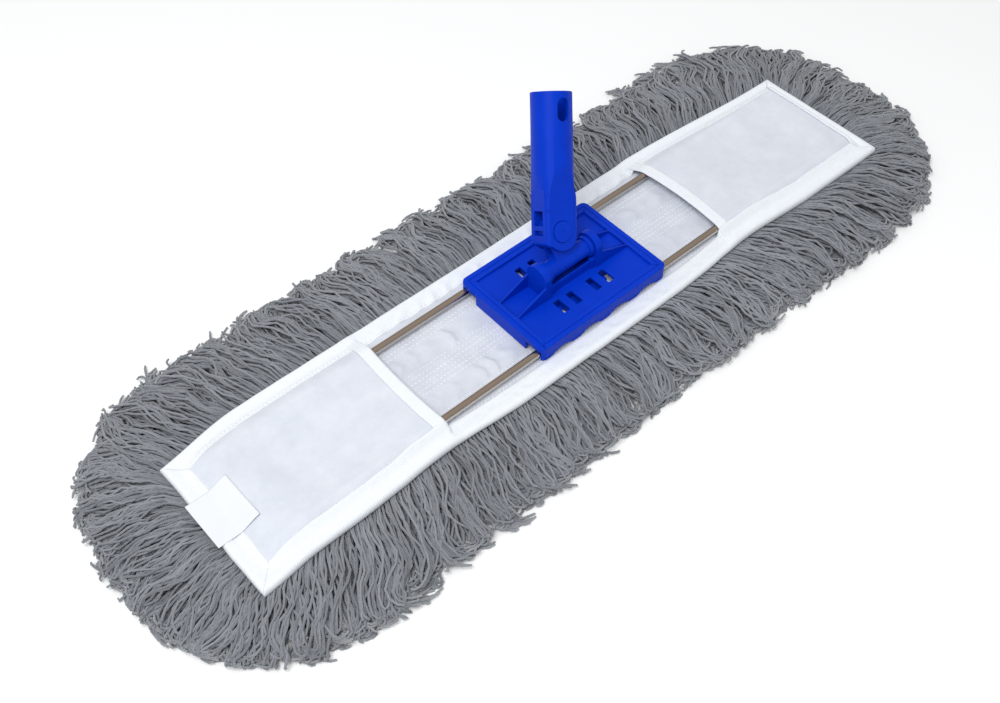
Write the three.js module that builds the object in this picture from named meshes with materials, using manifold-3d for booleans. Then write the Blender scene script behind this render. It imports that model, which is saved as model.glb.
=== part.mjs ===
// Flat dust mop: a fringed yarn cover with two pockets, a wire frame that slips into the
// pockets, and a moulded swivel head that clips on the wires and takes the handle.
// Millimetres. X runs along the mop, Y across it, Z up from the floor.
import * as THREE from "three";
import { mergeVertices } from "three/addons/utils/BufferGeometryUtils.js";
import Module from "manifold-3d";

// Yarn cover
const BACKING_LENGTH = 624;
const BACKING_WIDTH = 121;
const BACKING_BOTTOM = 14;
const BACKING_TOP = 17;
const BINDING_WIDTH = 9;
const BINDING_THICK = 1.2;
const BINDING_CLEAR = 0.3;
const POCKET_MOUTH = 143;
const POCKET_TOP = 27;
const POCKET_CLOTH = 1.5;
const HEM_WIDTH = 9;
const HEM_RAISE = 0.5;
const FRINGE_LENGTH = 768;
const FRINGE_WIDTH = 298;
const FRINGE_CORNER = 95;
const FRINGE_TOP = 16;
const PILE_TOP = 12.1;
const PILE_ROWS = 3;
const GAP = 0.3;
const LABEL = { x: -298.5, y: 8, length: 33, width: 41, thick: 0.8 };

// Wire frame
const WIRE_RADIUS = 3;
const WIRE_Z = 22;
const FRAME_LENGTH = 576;
const FRAME_SPACING = 80;
const FRAME_CORNER = 22;
const HEAD_X = 10.5;
const HEAD_Y = 4;

// Base plate
const PLATE_LENGTH = 129;
const PLATE_WIDTH = 92;
const PLATE_CORNER = 5;
const PLATE_TOP = 30;
const PLATE_BOTTOM = 17.5;
const PLATE_WALL = 2.2;
const DECK_THICK = 4.2;
const RIM_WIDTH = 8.5;
const GROOVE = { edge: 4, width: 0.8, depth: 0.7 };
const PANEL_DROP = 2;
const SLOT = { width: 6, length: 13, y: 21.5, near: 10.2, far: 23 };
const KERB = { length: 37, thick: 1.4, height: 8.5, y: 7.8 };
const LUG = { length: 6, thick: 3.6, height: 9.6 };
const GUSSET = { y: 10, thick: 1.8, reach: 57, high: 14 };
const ARCHES = 4;
const ARCH = { width: 24, height: 4.5 };
const NOTCH_INNER = 9;
const HOOK = { length: 14, thick: 2, x: 34 };
const RIB = { thick: 1.6, y: 14, x: 17.5, reach: 44, floor: 1, ledge: 19, ledgeX: 28 };

// Swivel: the barrel turns along the mop, the socket tilts on the pin across it
const BARREL_HEIGHT = 14.5;
const BARREL_RADIUS = 7;
const SADDLE = { inner: 23, thick: 6, radius: 10.5 };
const TRUNNION = { radius: 4, length: 5 };
const COLLAR = { radius: 8.5, length: 3.5 };
const RUNNING_CLEAR = 0.35;
const PIN_REACH = 24;
const TONGUE = { thick: 12, radius: 10.4, core: 7.6, coreDeep: 4, coreLow: 9.5, coreHigh: 15.5 };
const BARREL_LEAN = THREE.MathUtils.degToRad(35);
const SOCKET_LEAN = THREE.MathUtils.degToRad(25);

// Handle socket, measured from the pin
const SOCKET_TOP = 101.3;
const SOCKET_RADIUS_TOP = 15.5;
const SOCKET_RADIUS_LOW = 16;
const EAR = { radius: 14, x: 0.6, face: 11.6, corner: 3.5 };
const FACET = { start: 22, top: 51, sideTop: 46 };
const FORK_SLOT = 12.7;
const FORK_ROOT = 17;
const WEB = { outer: 13.4, inner: 11, bottom: -10.4 };
const WINDOW_HALF = 5.6;
const WINDOWS = [[4.3, 15.3], [-2.8, 1]];
const BORE = { radius: 12.4, floor: 34, floorRadius: 9.5, coneTop: 40, chamfer: 0.8 };
const KEY_SLOT = { width: 9.5, length: 17, below: 13.5 };
const PIN = { radius: 3, head: 7.8, headThick: 1.2, dimple: 1.5, dimpleDeep: 0.6 };

const wasm = await Module();
wasm.setup();
const { Manifold, Mesh } = wasm;

// A three.js geometry as a closed solid that can be joined and cut.
function solid(geometry) {
  const bare = new THREE.BufferGeometry();
  bare.setAttribute("position", geometry.getAttribute("position"));
  bare.setIndex(geometry.index);
  const welded = mergeVertices(bare, 1e-4);
  return new Manifold(
    new Mesh({
      numProp: 3,
      vertProperties: welded.attributes.position.array,
      triVerts: new Uint32Array(welded.index.array),
    }),
  );
}

const join = (...parts) => Manifold.union(parts.flat());
const place = (body, matrix) => body.transform(matrix.elements);

function box(x0, x1, y0, y1, z0, z1) {
  const geometry = new THREE.BoxGeometry(x1 - x0, y1 - y0, z1 - z0);
  return solid(geometry.translate((x0 + x1) / 2, (y0 + y1) / 2, (z0 + z1) / 2));
}

function rod(radius, from, to, sides = 32) {
  const start = new THREE.Vector3(...from);
  const run = new THREE.Vector3(...to).sub(start);
  const geometry = new THREE.CylinderGeometry(radius, radius, run.length(), sides);
  geometry.translate(0, run.length() / 2, 0);
  const turn = new THREE.Quaternion();
  turn.setFromUnitVectors(new THREE.Vector3(0, 1, 0), run.clone().normalize());
  return solid(geometry.applyQuaternion(turn).translate(start.x, start.y, start.z));
}

function prism(shape, z0, z1, curveSegments = 10) {
  const options = { depth: z1 - z0, bevelEnabled: false, curveSegments };
  return solid(new THREE.ExtrudeGeometry(shape, options).translate(0, 0, z0));
}

// A prism whose outline lies in the X-Z plane, centred on Y = 0.
function sidePrism(shape, thick, curveSegments = 10) {
  const flat = prism(shape, -thick / 2, thick / 2, curveSegments);
  return place(flat, new THREE.Matrix4().makeRotationX(Math.PI / 2));
}

// A prism whose outline lies in the Y-Z plane, from x0 to x1.
function crossPrism(shape, x0, x1, curveSegments = 10) {
  const turn = new THREE.Matrix4().makeBasis(
    new THREE.Vector3(0, 1, 0),
    new THREE.Vector3(0, 0, 1),
    new THREE.Vector3(1, 0, 0),
  );
  return place(prism(shape, x0, x1, curveSegments), turn);
}

function roundedRect(halfX, halfY, radius) {
  const shape = new THREE.Shape();
  const quarter = Math.PI / 2;
  shape.absarc(halfX - radius, halfY - radius, radius, 0, quarter);
  shape.absarc(radius - halfX, halfY - radius, radius, quarter, 2 * quarter);
  shape.absarc(radius - halfX, radius - halfY, radius, 2 * quarter, 3 * quarter);
  shape.absarc(halfX - radius, radius - halfY, radius, 3 * quarter, 4 * quarter);
  shape.closePath();
  return shape;
}

function polygon(points) {
  return new THREE.Shape(points.map(([x, y]) => new THREE.Vector2(x, y)));
}

const mop = new THREE.Group();
mop.name = "flat_mop";

function add(name, body, color, roughness, metalness = 0) {
  const { vertProperties, triVerts, numProp, numVert } = body.getMesh();
  const positions = new Float32Array(numVert * 3);
  for (let i = 0; i < numVert; i++) {
    positions.set(vertProperties.subarray(i * numProp, i * numProp + 3), i * 3);
  }
  const geometry = new THREE.BufferGeometry();
  geometry.setAttribute("position", new THREE.BufferAttribute(positions, 3));
  geometry.setIndex(new THREE.BufferAttribute(triVerts, 1));
  geometry.computeVertexNormals();
  const material = new THREE.MeshStandardMaterial({ color, roughness, metalness });
  const mesh = new THREE.Mesh(geometry, material);
  mesh.name = name;
  mop.add(mesh);
}

const WHITE_CLOTH = 0xe9ebf0;
const WHITE_TAPE = 0xf6f7fa;
const GREY_YARN = 0x85878d;
const STEEL = 0x9a958a;
const BLUE = 0x0a3fd6;

const halfLength = BACKING_LENGTH / 2;
const halfWidth = BACKING_WIDTH / 2;

// ---- Backing: a stiff woven cloth, its raw edges lie inside the folded binding tape
const tuck = BINDING_THICK + 2;
add(
  "backing",
  box(
    tuck - halfLength, halfLength - tuck,
    tuck - halfWidth, halfWidth - tuck,
    BACKING_BOTTOM, BACKING_TOP,
  ),
  WHITE_CLOTH,
  0.9,
);

// ---- Binding tape: folded over the edge on all four sides, mitred at the corners
const bindingLow = BACKING_BOTTOM - BINDING_CLEAR - BINDING_THICK;
const bindingHigh = BACKING_TOP + BINDING_CLEAR + BINDING_THICK;
const fold = box(
  BINDING_THICK - halfLength, halfLength - BINDING_THICK,
  BINDING_THICK - halfWidth, halfWidth - BINDING_THICK,
  BACKING_BOTTOM - BINDING_CLEAR, BACKING_TOP + BINDING_CLEAR,
);
const mitre = GAP / 2;
function bindingSide(sideX, sideY) {
  const outline = sideY
    ? [
        [mitre - halfLength, halfWidth],
        [mitre - halfLength + BINDING_WIDTH, halfWidth - BINDING_WIDTH],
        [halfLength - BINDING_WIDTH - mitre, halfWidth - BINDING_WIDTH],
        [halfLength - mitre, halfWidth],
      ].map(([x, y]) => [x, y * sideY])
    : [
        [halfLength, mitre - halfWidth],
        [halfLength - BINDING_WIDTH, mitre - halfWidth + BINDING_WIDTH],
        [halfLength - BINDING_WIDTH, halfWidth - BINDING_WIDTH - mitre],
        [halfLength, halfWidth - mitre],
      ].map(([x, y]) => [x * sideX, y]);
  return prism(polygon(outline), bindingLow, bindingHigh).subtract(fold);
}
const SIDES = { front: [0, -1], back: [0, 1], left: [-1, 0], right: [1, 0] };
for (const [side, [sideX, sideY]] of Object.entries(SIDES)) {
  add("binding_" + side, bindingSide(sideX, sideY), WHITE_TAPE, 0.85);
}

// ---- Pockets: a cloth flap over each end, open toward the middle, with a taped mouth
const pocketHalf = halfWidth - BINDING_WIDTH - GAP;
const pocketEnd = halfLength - BINDING_WIDTH - GAP;
const pocketFloor = BACKING_TOP + GAP;
const pocketInside = pocketHalf - POCKET_CLOTH;
for (const [side, sign] of [["left", -1], ["right", 1]]) {
  const span = (a, b) => (sign > 0 ? [a, b] : [-b, -a]);
  const outer = span(POCKET_MOUTH + HEM_WIDTH + GAP, pocketEnd);
  const inner = span(POCKET_MOUTH, pocketEnd - POCKET_CLOTH);
  const roof = POCKET_TOP - POCKET_CLOTH;
  const flap = box(...outer, -pocketHalf, pocketHalf, pocketFloor, POCKET_TOP);
  const room = box(...inner, -pocketInside, pocketInside, 0, roof);
  add("pocket_" + side, flap.subtract(room), WHITE_CLOTH, 0.9);
  const tape = span(POCKET_MOUTH, POCKET_MOUTH + HEM_WIDTH);
  const hemTop = POCKET_TOP + HEM_RAISE;
  const band = box(...tape, -pocketHalf, pocketHalf, pocketFloor, hemTop);
  const mouth = box(...span(0, halfLength), -pocketInside, pocketInside, 0, roof);
  add("pocket_hem_" + side, band.subtract(mouth), WHITE_TAPE, 0.85);
}

// ---- Care label: a small folded tag sewn over the end of the left pocket
const labelLow = POCKET_TOP + GAP;
add(
  "care_label",
  box(
    LABEL.x - LABEL.length / 2, LABEL.x + LABEL.length / 2,
    LABEL.y - LABEL.width / 2, LABEL.y + LABEL.width / 2,
    labelLow, labelLow + LABEL.thick,
  ),
  WHITE_TAPE,
  0.6,
);

// ---- Fringe: cut yarn standing out all round, one bank along each side
const outline = roundedRect(FRINGE_LENGTH / 2, FRINGE_WIDTH / 2, FRINGE_CORNER);
const window = box(
  -halfLength - GAP, halfLength + GAP,
  -halfWidth - GAP, halfWidth + GAP,
  -1, FRINGE_TOP + 1,
);
const ring = prism(outline, 0, FRINGE_TOP, 14).subtract(window);
const cornerX = FRINGE_LENGTH / 2 - FRINGE_CORNER * (1 - Math.SQRT1_2);
const cornerY = FRINGE_WIDTH / 2 - FRINGE_CORNER * (1 - Math.SQRT1_2);
const slope = (cornerY - halfWidth) / (cornerX - halfLength);
const reach = 200;
const wedge = (sideX, sideY) => {
  const far = halfLength + reach;
  const edge = halfWidth + reach * slope;
  const shape = sideY
    ? [[-far, edge], [mitre - halfLength, halfWidth], [-halfLength + 1, 0],
       [halfLength - 1, 0], [halfLength - mitre, halfWidth], [far, edge]]
        .map(([x, y]) => [x, y * sideY])
    : [[far, edge - 2 * mitre * slope], [halfLength, halfWidth - mitre * slope],
       [0, 0],
       [halfLength, mitre * slope - halfWidth], [far, 2 * mitre * slope - edge]]
        .map(([x, y]) => [x * sideX, y]);
  return prism(polygon(shape), -1, FRINGE_TOP + 1);
};
for (const [side, [sideX, sideY]] of Object.entries(SIDES)) {
  add("fringe_" + side, ring.intersect(wedge(sideX, sideY)), GREY_YARN, 0.95);
}

// ---- Pile: rows of the same yarn sewn lengthwise under the backing
const rowPitch = (BACKING_WIDTH - GAP) / PILE_ROWS;
for (let row = 0; row < PILE_ROWS; row++) {
  const y0 = -halfWidth + row * rowPitch + GAP / 2;
  const strip = box(-halfLength, halfLength, y0, y0 + rowPitch - GAP, 0, PILE_TOP);
  add("pile_row_" + (row + 1), strip, GREY_YARN, 0.95);
}

// ---- Wire frame: one round steel wire bent into a long loop, its ends meet under the plate
const wireX = FRAME_LENGTH / 2 - WIRE_RADIUS;
const wireY = FRAME_SPACING / 2;
const bends = [[1, -1, 3], [1, 1, 0], [-1, 1, 1], [-1, -1, 2]];
const BEND_STEPS = 6;
const wirePoints = [new THREE.Vector3(GAP / 2, -wireY, 0)];
for (const [signX, signY, turn] of bends) {
  for (let step = 0; step <= BEND_STEPS; step++) {
    const angle = (turn + step / BEND_STEPS) * (Math.PI / 2);
    wirePoints.push(
      new THREE.Vector3(
        signX * (wireX - FRAME_CORNER) + FRAME_CORNER * Math.cos(angle),
        signY * (wireY - FRAME_CORNER) + FRAME_CORNER * Math.sin(angle),
        0,
      ),
    );
  }
}
wirePoints.push(new THREE.Vector3(-GAP / 2, -wireY, 0));

// The wire's route, with its stations on its own points, so each straight run is one span.
class WireRoute extends THREE.Curve {
  constructor(points) {
    super();
    this.points = points;
  }

  getUtoTmapping(u) {
    return u;
  }

  getPoint(t) {
    const spans = this.points.length - 1;
    const span = Math.min(Math.floor(t * spans), spans - 1);
    return this.points[span].clone().lerp(this.points[span + 1], t * spans - span);
  }
}
const wireSection = new THREE.Shape();
wireSection.absarc(0, 0, WIRE_RADIUS, 0, 2 * Math.PI);
const wire = solid(
  new THREE.ExtrudeGeometry(wireSection, {
    curveSegments: 8,
    steps: wirePoints.length - 1,
    extrudePath: new WireRoute(wirePoints),
  }),
);
add("wire_frame", wire.translate(HEAD_X, HEAD_Y, WIRE_Z), STEEL, 0.3, 1);

// ---- Base plate: one moulding, a shallow tray upside down over both wires
const deckLow = PLATE_TOP - DECK_THICK;
const plateX = PLATE_LENGTH / 2;
const plateY = PLATE_WIDTH / 2;
const barrelZ = PLATE_TOP + BARREL_HEIGHT;
const panelZ = PLATE_TOP - PANEL_DROP;
const ribLow = PLATE_BOTTOM + 0.3;
const inset = (edge, z0, z1) => {
  const corner = Math.max(PLATE_CORNER - edge, 1);
  return prism(roundedRect(plateX - edge, plateY - edge, corner), z0, z1, 5);
};
const groove = inset(GROOVE.edge, PLATE_TOP - GROOVE.depth, PLATE_TOP + 1).subtract(
  inset(GROOVE.edge + GROOVE.width, PLATE_BOTTOM, PLATE_TOP + 2),
);
let plate = inset(0, PLATE_BOTTOM, PLATE_TOP)
  .subtract(inset(PLATE_WALL, PLATE_BOTTOM - 1, deckLow))
  .subtract(inset(RIM_WIDTH, panelZ, PLATE_TOP + 1))
  .subtract(groove);

// Saddles, gussets and kerbs stand on the panel
for (const sign of [-1, 1]) {
  const x0 = sign > 0 ? SADDLE.inner : -SADDLE.inner - SADDLE.thick;
  const cheek = new THREE.Shape();
  cheek.moveTo(-SADDLE.radius - 1, panelZ - 1);
  cheek.lineTo(SADDLE.radius + 1, panelZ - 1);
  cheek.lineTo(SADDLE.radius, barrelZ);
  cheek.absarc(0, barrelZ, SADDLE.radius, 0, Math.PI);
  cheek.closePath();
  plate = plate.add(crossPrism(cheek, x0, x0 + SADDLE.thick, 14));
  const outer = SADDLE.inner + SADDLE.thick - 1;
  const brace = polygon([
    [sign * outer, panelZ - 1],
    [sign * GUSSET.reach, panelZ - 1],
    [sign * GUSSET.reach, PLATE_TOP - 0.4],
    [sign * outer, panelZ + GUSSET.high],
  ]);
  for (const y of [-GUSSET.y, GUSSET.y]) {
    plate = plate.add(sidePrism(brace, GUSSET.thick).translate(0, y, 0));
  }
  const y0 = sign * KERB.y - KERB.thick / 2;
  const kerbHalf = KERB.length / 2;
  const kerbTop = panelZ + KERB.height;
  const kerb = box(-kerbHalf, kerbHalf, y0, y0 + KERB.thick, panelZ - 1, kerbTop);
  plate = plate.add(kerb);
  for (const end of [-1, 1]) {
    const lugX = end > 0 ? [kerbHalf, kerbHalf + LUG.length] : [-kerbHalf - LUG.length, -kerbHalf];
    const lugY = [sign * KERB.y - LUG.thick / 2, sign * KERB.y + LUG.thick / 2];
    plate = plate.add(box(...lugX, ...lugY, panelZ - 1, panelZ + LUG.height));
  }
}

// Ribs under the deck box in the middle, with a floor under the inner slots
for (const sign of [-1, 1]) {
  const span = (a, b) => (sign > 0 ? [a, b] : [-b, -a]);
  const half = RIB.thick / 2;
  const rooted = [ribLow, deckLow + 1];
  const boxEnd = wireY - WIRE_RADIUS - HOOK.thick - RUNNING_CLEAR;
  plate = plate.add(
    join(
      box(-RIB.reach, RIB.reach, ...span(RIB.y - half, RIB.y + half), ...rooted),
      box(RIB.x - half, RIB.x + half, ...span(RIB.y, boxEnd), ...rooted),
      box(-RIB.x - half, half - RIB.x, ...span(RIB.y, boxEnd), ...rooted),
      box(-RIB.x, RIB.x, ...span(RIB.y, boxEnd), ribLow, ribLow + RIB.floor),
      box(-RIB.ledgeX, RIB.ledgeX, ...span(RIB.y, RIB.ledge), ribLow, ribLow + RIB.floor),
    ),
  );
}

// Snap hooks under the deck hold each wire from below, pads press on it from above
const hookInner = wireY - WIRE_RADIUS - RUNNING_CLEAR;
const hookLow = PLATE_BOTTOM + 0.1;
const hookLip = WIRE_Z - WIRE_RADIUS - RUNNING_CLEAR;
for (const x of [-HOOK.x, HOOK.x]) {
  for (const sign of [-1, 1]) {
    const span = (a, b) => (sign > 0 ? [a, b] : [-b, -a]);
    const xs = [x - HOOK.length / 2, x + HOOK.length / 2];
    const stem = box(...xs, ...span(hookInner - HOOK.thick, hookInner), hookLow, deckLow + 1);
    const toe = box(...xs, ...span(hookInner - HOOK.thick, wireY), hookLow, hookLip);
    const padLow = WIRE_Z + WIRE_RADIUS + RUNNING_CLEAR;
    const padTop = deckLow + 1;
    const pad = box(...xs, ...span(hookInner - HOOK.thick, plateY - 1), padLow, padTop);
    plate = plate.add(join(stem, toe, pad));
  }
}

// Openings: wire notches, slots through the panel, arches along the skirts, trunnion bores
const cuts = [];
for (const sign of [-1, 1]) {
  const notchHalf = WIRE_RADIUS + RUNNING_CLEAR;
  const y0 = sign * wireY;
  const high = WIRE_Z + notchHalf;
  cuts.push(box(-plateX - 1, plateX + 1, y0 - notchHalf, y0 + notchHalf, 0, hookLow));
  for (const end of [-1, 1]) {
    const ends = end > 0 ? [plateX - PLATE_WALL - 1, plateX + 1]
      : [-plateX - 1, 1 + PLATE_WALL - plateX];
    const inner = wireY - WIRE_RADIUS - NOTCH_INNER;
    const across = sign > 0 ? [inner, y0 + notchHalf] : [y0 - notchHalf, -inner];
    cuts.push(box(...ends, ...across, 0, high));
  }
  for (const x of [-SLOT.far, -SLOT.near, SLOT.near, SLOT.far]) {
    const slotY = [sign * SLOT.y - SLOT.length / 2, sign * SLOT.y + SLOT.length / 2];
    cuts.push(box(x - SLOT.width / 2, x + SLOT.width / 2, ...slotY, deckLow - 1, PLATE_TOP));
  }
  for (let i = 0; i < ARCHES; i++) {
    const x = (i - (ARCHES - 1) / 2) * (PLATE_LENGTH / (ARCHES + 0.4));
    const arch = new THREE.Shape();
    arch.moveTo(-ARCH.width / 2, -1);
    arch.lineTo(ARCH.width / 2, -1);
    arch.quadraticCurveTo(0, 2 * ARCH.height, -ARCH.width / 2, -1);
    const cutter = sidePrism(arch, 2 * PLATE_WALL, 8);
    cuts.push(cutter.translate(x, sign * plateY, PLATE_BOTTOM));
  }
}
const boreRun = SADDLE.inner + TRUNNION.length + RUNNING_CLEAR;
const boreRadius = TRUNNION.radius + RUNNING_CLEAR;
cuts.push(rod(boreRadius, [-boreRun, 0, barrelZ], [boreRun, 0, barrelZ], 24));
plate = plate.subtract(join(cuts));
add("base_plate", plate.translate(HEAD_X, HEAD_Y, 0), BLUE, 0.45);

// ---- Barrel: lies between the saddles on two trunnions and carries the flat tongue
const barrelHalf = SADDLE.inner - RUNNING_CLEAR;
const trunnionHalf = SADDLE.inner + TRUNNION.length;
const tongueShape = new THREE.Shape();
tongueShape.moveTo(-TONGUE.radius, 0);
tongueShape.lineTo(TONGUE.radius, 0);
tongueShape.absarc(0, PIN_REACH, TONGUE.radius, 0, Math.PI);
tongueShape.closePath();
const tongueCores = [-1, 1].map((sign) => {
  const inner = TONGUE.radius - TONGUE.coreDeep;
  const xs = sign > 0 ? [inner, TONGUE.radius + 1] : [-TONGUE.radius - 1, -inner];
  return box(...xs, -TONGUE.core / 2, TONGUE.core / 2, TONGUE.coreLow, TONGUE.coreHigh);
});
const pinHole = PIN.radius + RUNNING_CLEAR;
const barrel = join(
  rod(BARREL_RADIUS, [-barrelHalf, 0, 0], [barrelHalf, 0, 0], 32),
  rod(TRUNNION.radius, [-trunnionHalf, 0, 0], [trunnionHalf, 0, 0], 24),
  rod(COLLAR.radius, [-barrelHalf, 0, 0], [COLLAR.length - barrelHalf, 0, 0], 32),
  rod(COLLAR.radius, [barrelHalf - COLLAR.length, 0, 0], [barrelHalf, 0, 0], 32),
  sidePrism(tongueShape, TONGUE.thick, 12),
)
  .subtract(rod(pinHole, [0, -TONGUE.thick, PIN_REACH], [0, TONGUE.thick, PIN_REACH], 24))
  .subtract(join(tongueCores));
const barrelFrame = new THREE.Matrix4()
  .makeTranslation(HEAD_X, HEAD_Y, barrelZ)
  .multiply(new THREE.Matrix4().makeRotationX(-BARREL_LEAN));
add("swivel_barrel", place(barrel, barrelFrame), BLUE, 0.45);

// ---- Handle socket: a tube that ends in a fork, with a windowed web on one side
const socketFrame = barrelFrame
  .clone()
  .multiply(new THREE.Matrix4().makeTranslation(0, 0, PIN_REACH))
  .multiply(new THREE.Matrix4().makeRotationY(SOCKET_LEAN));
const low = -EAR.radius - 1;
const wall = SOCKET_RADIUS_LOW;
const profile = [
  [0, FORK_ROOT - 1],
  [SOCKET_RADIUS_LOW, FORK_ROOT - 1],
  [SOCKET_RADIUS_LOW, FACET.start],
  [SOCKET_RADIUS_TOP, SOCKET_TOP - 20],
  [SOCKET_RADIUS_TOP, SOCKET_TOP - 0.6],
  [SOCKET_RADIUS_TOP - 0.6, SOCKET_TOP],
  [0, SOCKET_TOP],
];
const lathe = (points, segments) => {
  const spun = new THREE.LatheGeometry(
    points.map(([r, z]) => new THREE.Vector2(r, z)),
    segments,
  );
  return solid(spun.rotateX(Math.PI / 2));
};
const bore = lathe(
  [
    [0, BORE.floor],
    [BORE.floorRadius, BORE.floor],
    [BORE.radius, BORE.coneTop],
    [BORE.radius, SOCKET_TOP - BORE.chamfer],
    [BORE.radius + BORE.chamfer, SOCKET_TOP],
    [BORE.radius + BORE.chamfer, SOCKET_TOP + 1],
    [0, SOCKET_TOP + 1],
  ],
  48,
);
// The tube is planed flat above each ear and above the web, where the fork grows out of it
let tube = lathe(profile, 48);
function planing(face, top) {
  const cut = new THREE.Shape();
  cut.moveTo(face, 0);
  cut.lineTo(face, FACET.start);
  cut.quadraticCurveTo(face, (FACET.start + top) / 2, wall + 0.2, top);
  cut.lineTo(2 * wall, top);
  cut.lineTo(2 * wall, 0);
  cut.closePath();
  return crossPrism(cut, -2 * wall, 2 * wall, 8);
}
const planings = [
  [0, EAR.face, FACET.top],
  [Math.PI, EAR.face, FACET.top],
  [Math.PI / 2, WEB.outer, FACET.sideTop],
];
for (const [turn, face, top] of planings) {
  tube = tube.subtract(place(planing(face, top), new THREE.Matrix4().makeRotationZ(turn)));
}
// The fork is a block with rounded corners whose ears end round, about the pin
const fork = new THREE.Shape();
const earStart = Math.PI + Math.asin(-WEB.bottom / EAR.radius);
fork.moveTo(-WEB.outer / 2, FACET.sideTop);
fork.lineTo(-WEB.outer, FACET.start);
fork.lineTo(-WEB.outer, WEB.bottom + 4);
fork.quadraticCurveTo(-WEB.outer, WEB.bottom, 4 - WEB.outer, WEB.bottom);
fork.absarc(EAR.x, 0, EAR.radius, earStart, 2 * Math.PI);
fork.lineTo(EAR.x + EAR.radius, FACET.start);
fork.lineTo(WEB.outer / 2, FACET.sideTop);
fork.closePath();
const blockHalf = (WEB.outer + EAR.x + EAR.radius) / 2;
const block = prism(roundedRect(blockHalf, EAR.face, EAR.corner), low, FACET.sideTop, 5)
  .translate(blockHalf - WEB.outer, 0, 0)
  .intersect(sidePrism(fork, 3 * wall, 14));
let socket = tube.add(block);
for (const sign of [-1, 1]) {
  const seat = sign * (EAR.face - 0.6);
  socket = socket.subtract(rod(PIN.head + GAP, [0, seat, 0], [0, sign * 30, 0], 32));
}
const halfSlot = FORK_SLOT / 2;
const keyZ = SOCKET_TOP - KEY_SLOT.below;
const keyHalf = (KEY_SLOT.length - KEY_SLOT.width) / 2;
const key = new THREE.Shape();
key.absarc(0, keyZ + keyHalf, KEY_SLOT.width / 2, 0, Math.PI);
key.absarc(0, keyZ - keyHalf, KEY_SLOT.width / 2, Math.PI, 2 * Math.PI);
key.closePath();
socket = socket.subtract(
  join(
    bore,
    box(-WEB.inner, 2 * wall, -halfSlot, halfSlot, low - 1, FORK_ROOT),
    WINDOWS.map(([z0, z1]) => box(-2 * wall, 0, -WINDOW_HALF, WINDOW_HALF, z0, z1)),
    sidePrism(key, wall, 8).translate(0, -wall, 0),
    rod(pinHole, [0, -wall, 0], [0, wall, 0], 24),
  ),
);
add("handle_socket", place(socket, socketFrame), BLUE, 0.45);

// ---- Pivot pin: a headed pin through both ears and the tongue
const headIn = EAR.face - 0.6 + GAP;
const headOut = headIn + PIN.headThick;
const dimples = [-1, 1].map((sign) =>
  rod(PIN.dimple, [0, sign * (headOut - PIN.dimpleDeep), 0], [0, sign * (headOut + 1), 0], 16),
);
const pin = join(
  rod(PIN.radius, [0, -headIn - 0.5, 0], [0, headIn + 0.5, 0], 24),
  rod(PIN.head, [0, -headOut, 0], [0, -headIn, 0], 32),
  rod(PIN.head, [0, headIn, 0], [0, headOut, 0], 32),
).subtract(join(dimples));
add("pivot_pin", place(pin, socketFrame), BLUE, 0.45);

export default mop;
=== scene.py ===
import math
import random

import bpy
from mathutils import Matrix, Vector, noise


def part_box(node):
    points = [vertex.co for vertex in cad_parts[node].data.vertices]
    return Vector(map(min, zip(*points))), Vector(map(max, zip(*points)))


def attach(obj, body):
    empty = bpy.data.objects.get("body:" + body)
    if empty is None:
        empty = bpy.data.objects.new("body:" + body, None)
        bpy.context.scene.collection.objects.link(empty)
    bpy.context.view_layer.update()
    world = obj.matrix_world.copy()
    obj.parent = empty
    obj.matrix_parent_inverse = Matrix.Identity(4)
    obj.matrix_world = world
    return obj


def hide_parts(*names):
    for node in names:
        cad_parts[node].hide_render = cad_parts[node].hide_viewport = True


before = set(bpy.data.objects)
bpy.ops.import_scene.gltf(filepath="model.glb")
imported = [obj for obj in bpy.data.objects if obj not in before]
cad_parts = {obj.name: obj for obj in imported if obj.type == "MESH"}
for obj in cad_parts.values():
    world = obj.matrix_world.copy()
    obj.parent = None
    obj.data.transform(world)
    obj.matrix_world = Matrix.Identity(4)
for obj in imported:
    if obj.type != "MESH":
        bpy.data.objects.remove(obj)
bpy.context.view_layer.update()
MM = 0.001

# ---- Camera
# The mop is seen as its user sees it: from the side, looking down at about fifty degrees,
# with the swivel head a little right of the middle.
CAMERA_AIM = Vector((-60.8, -3.3, 0)) * MM
CAMERA_DISTANCE = 905.8 * MM
CAMERA_AZIMUTH = math.radians(-41.32)
CAMERA_ELEVATION = math.radians(51.48)
# Focal length and sensor width, in the camera's own millimetres.
CAMERA_LENS = 43.44
CAMERA_SENSOR = 36
camera_back = Vector((
    math.sin(CAMERA_AZIMUTH) * math.cos(CAMERA_ELEVATION),
    -math.cos(CAMERA_AZIMUTH) * math.cos(CAMERA_ELEVATION),
    math.sin(CAMERA_ELEVATION),
))
bpy.ops.object.camera_add(
    location=CAMERA_AIM + CAMERA_DISTANCE * camera_back,
    rotation=(-camera_back).to_track_quat("-Z", "Y").to_euler(),
)
camera = bpy.context.object
camera.data.lens = CAMERA_LENS
camera.data.sensor_width = CAMERA_SENSOR
bpy.context.scene.camera = camera

# ---- Backing cloth
# A bleached cotton twill strip, the body of the yarn cover. Three lengthwise bands are
# quilted where the pile yarn is sewn through it; between them the cloth lies in puckers.
def srgb(code):
    """An sRGB hex colour as the linear colour that a socket holds."""
    channels = [(code >> shift & 255) / 255 for shift in (16, 8, 0)]
    linear = [c / 12.92 if c <= 0.04045 else ((c + 0.055) / 1.055) ** 2.4 for c in channels]
    return (*linear, 1.0)


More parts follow.
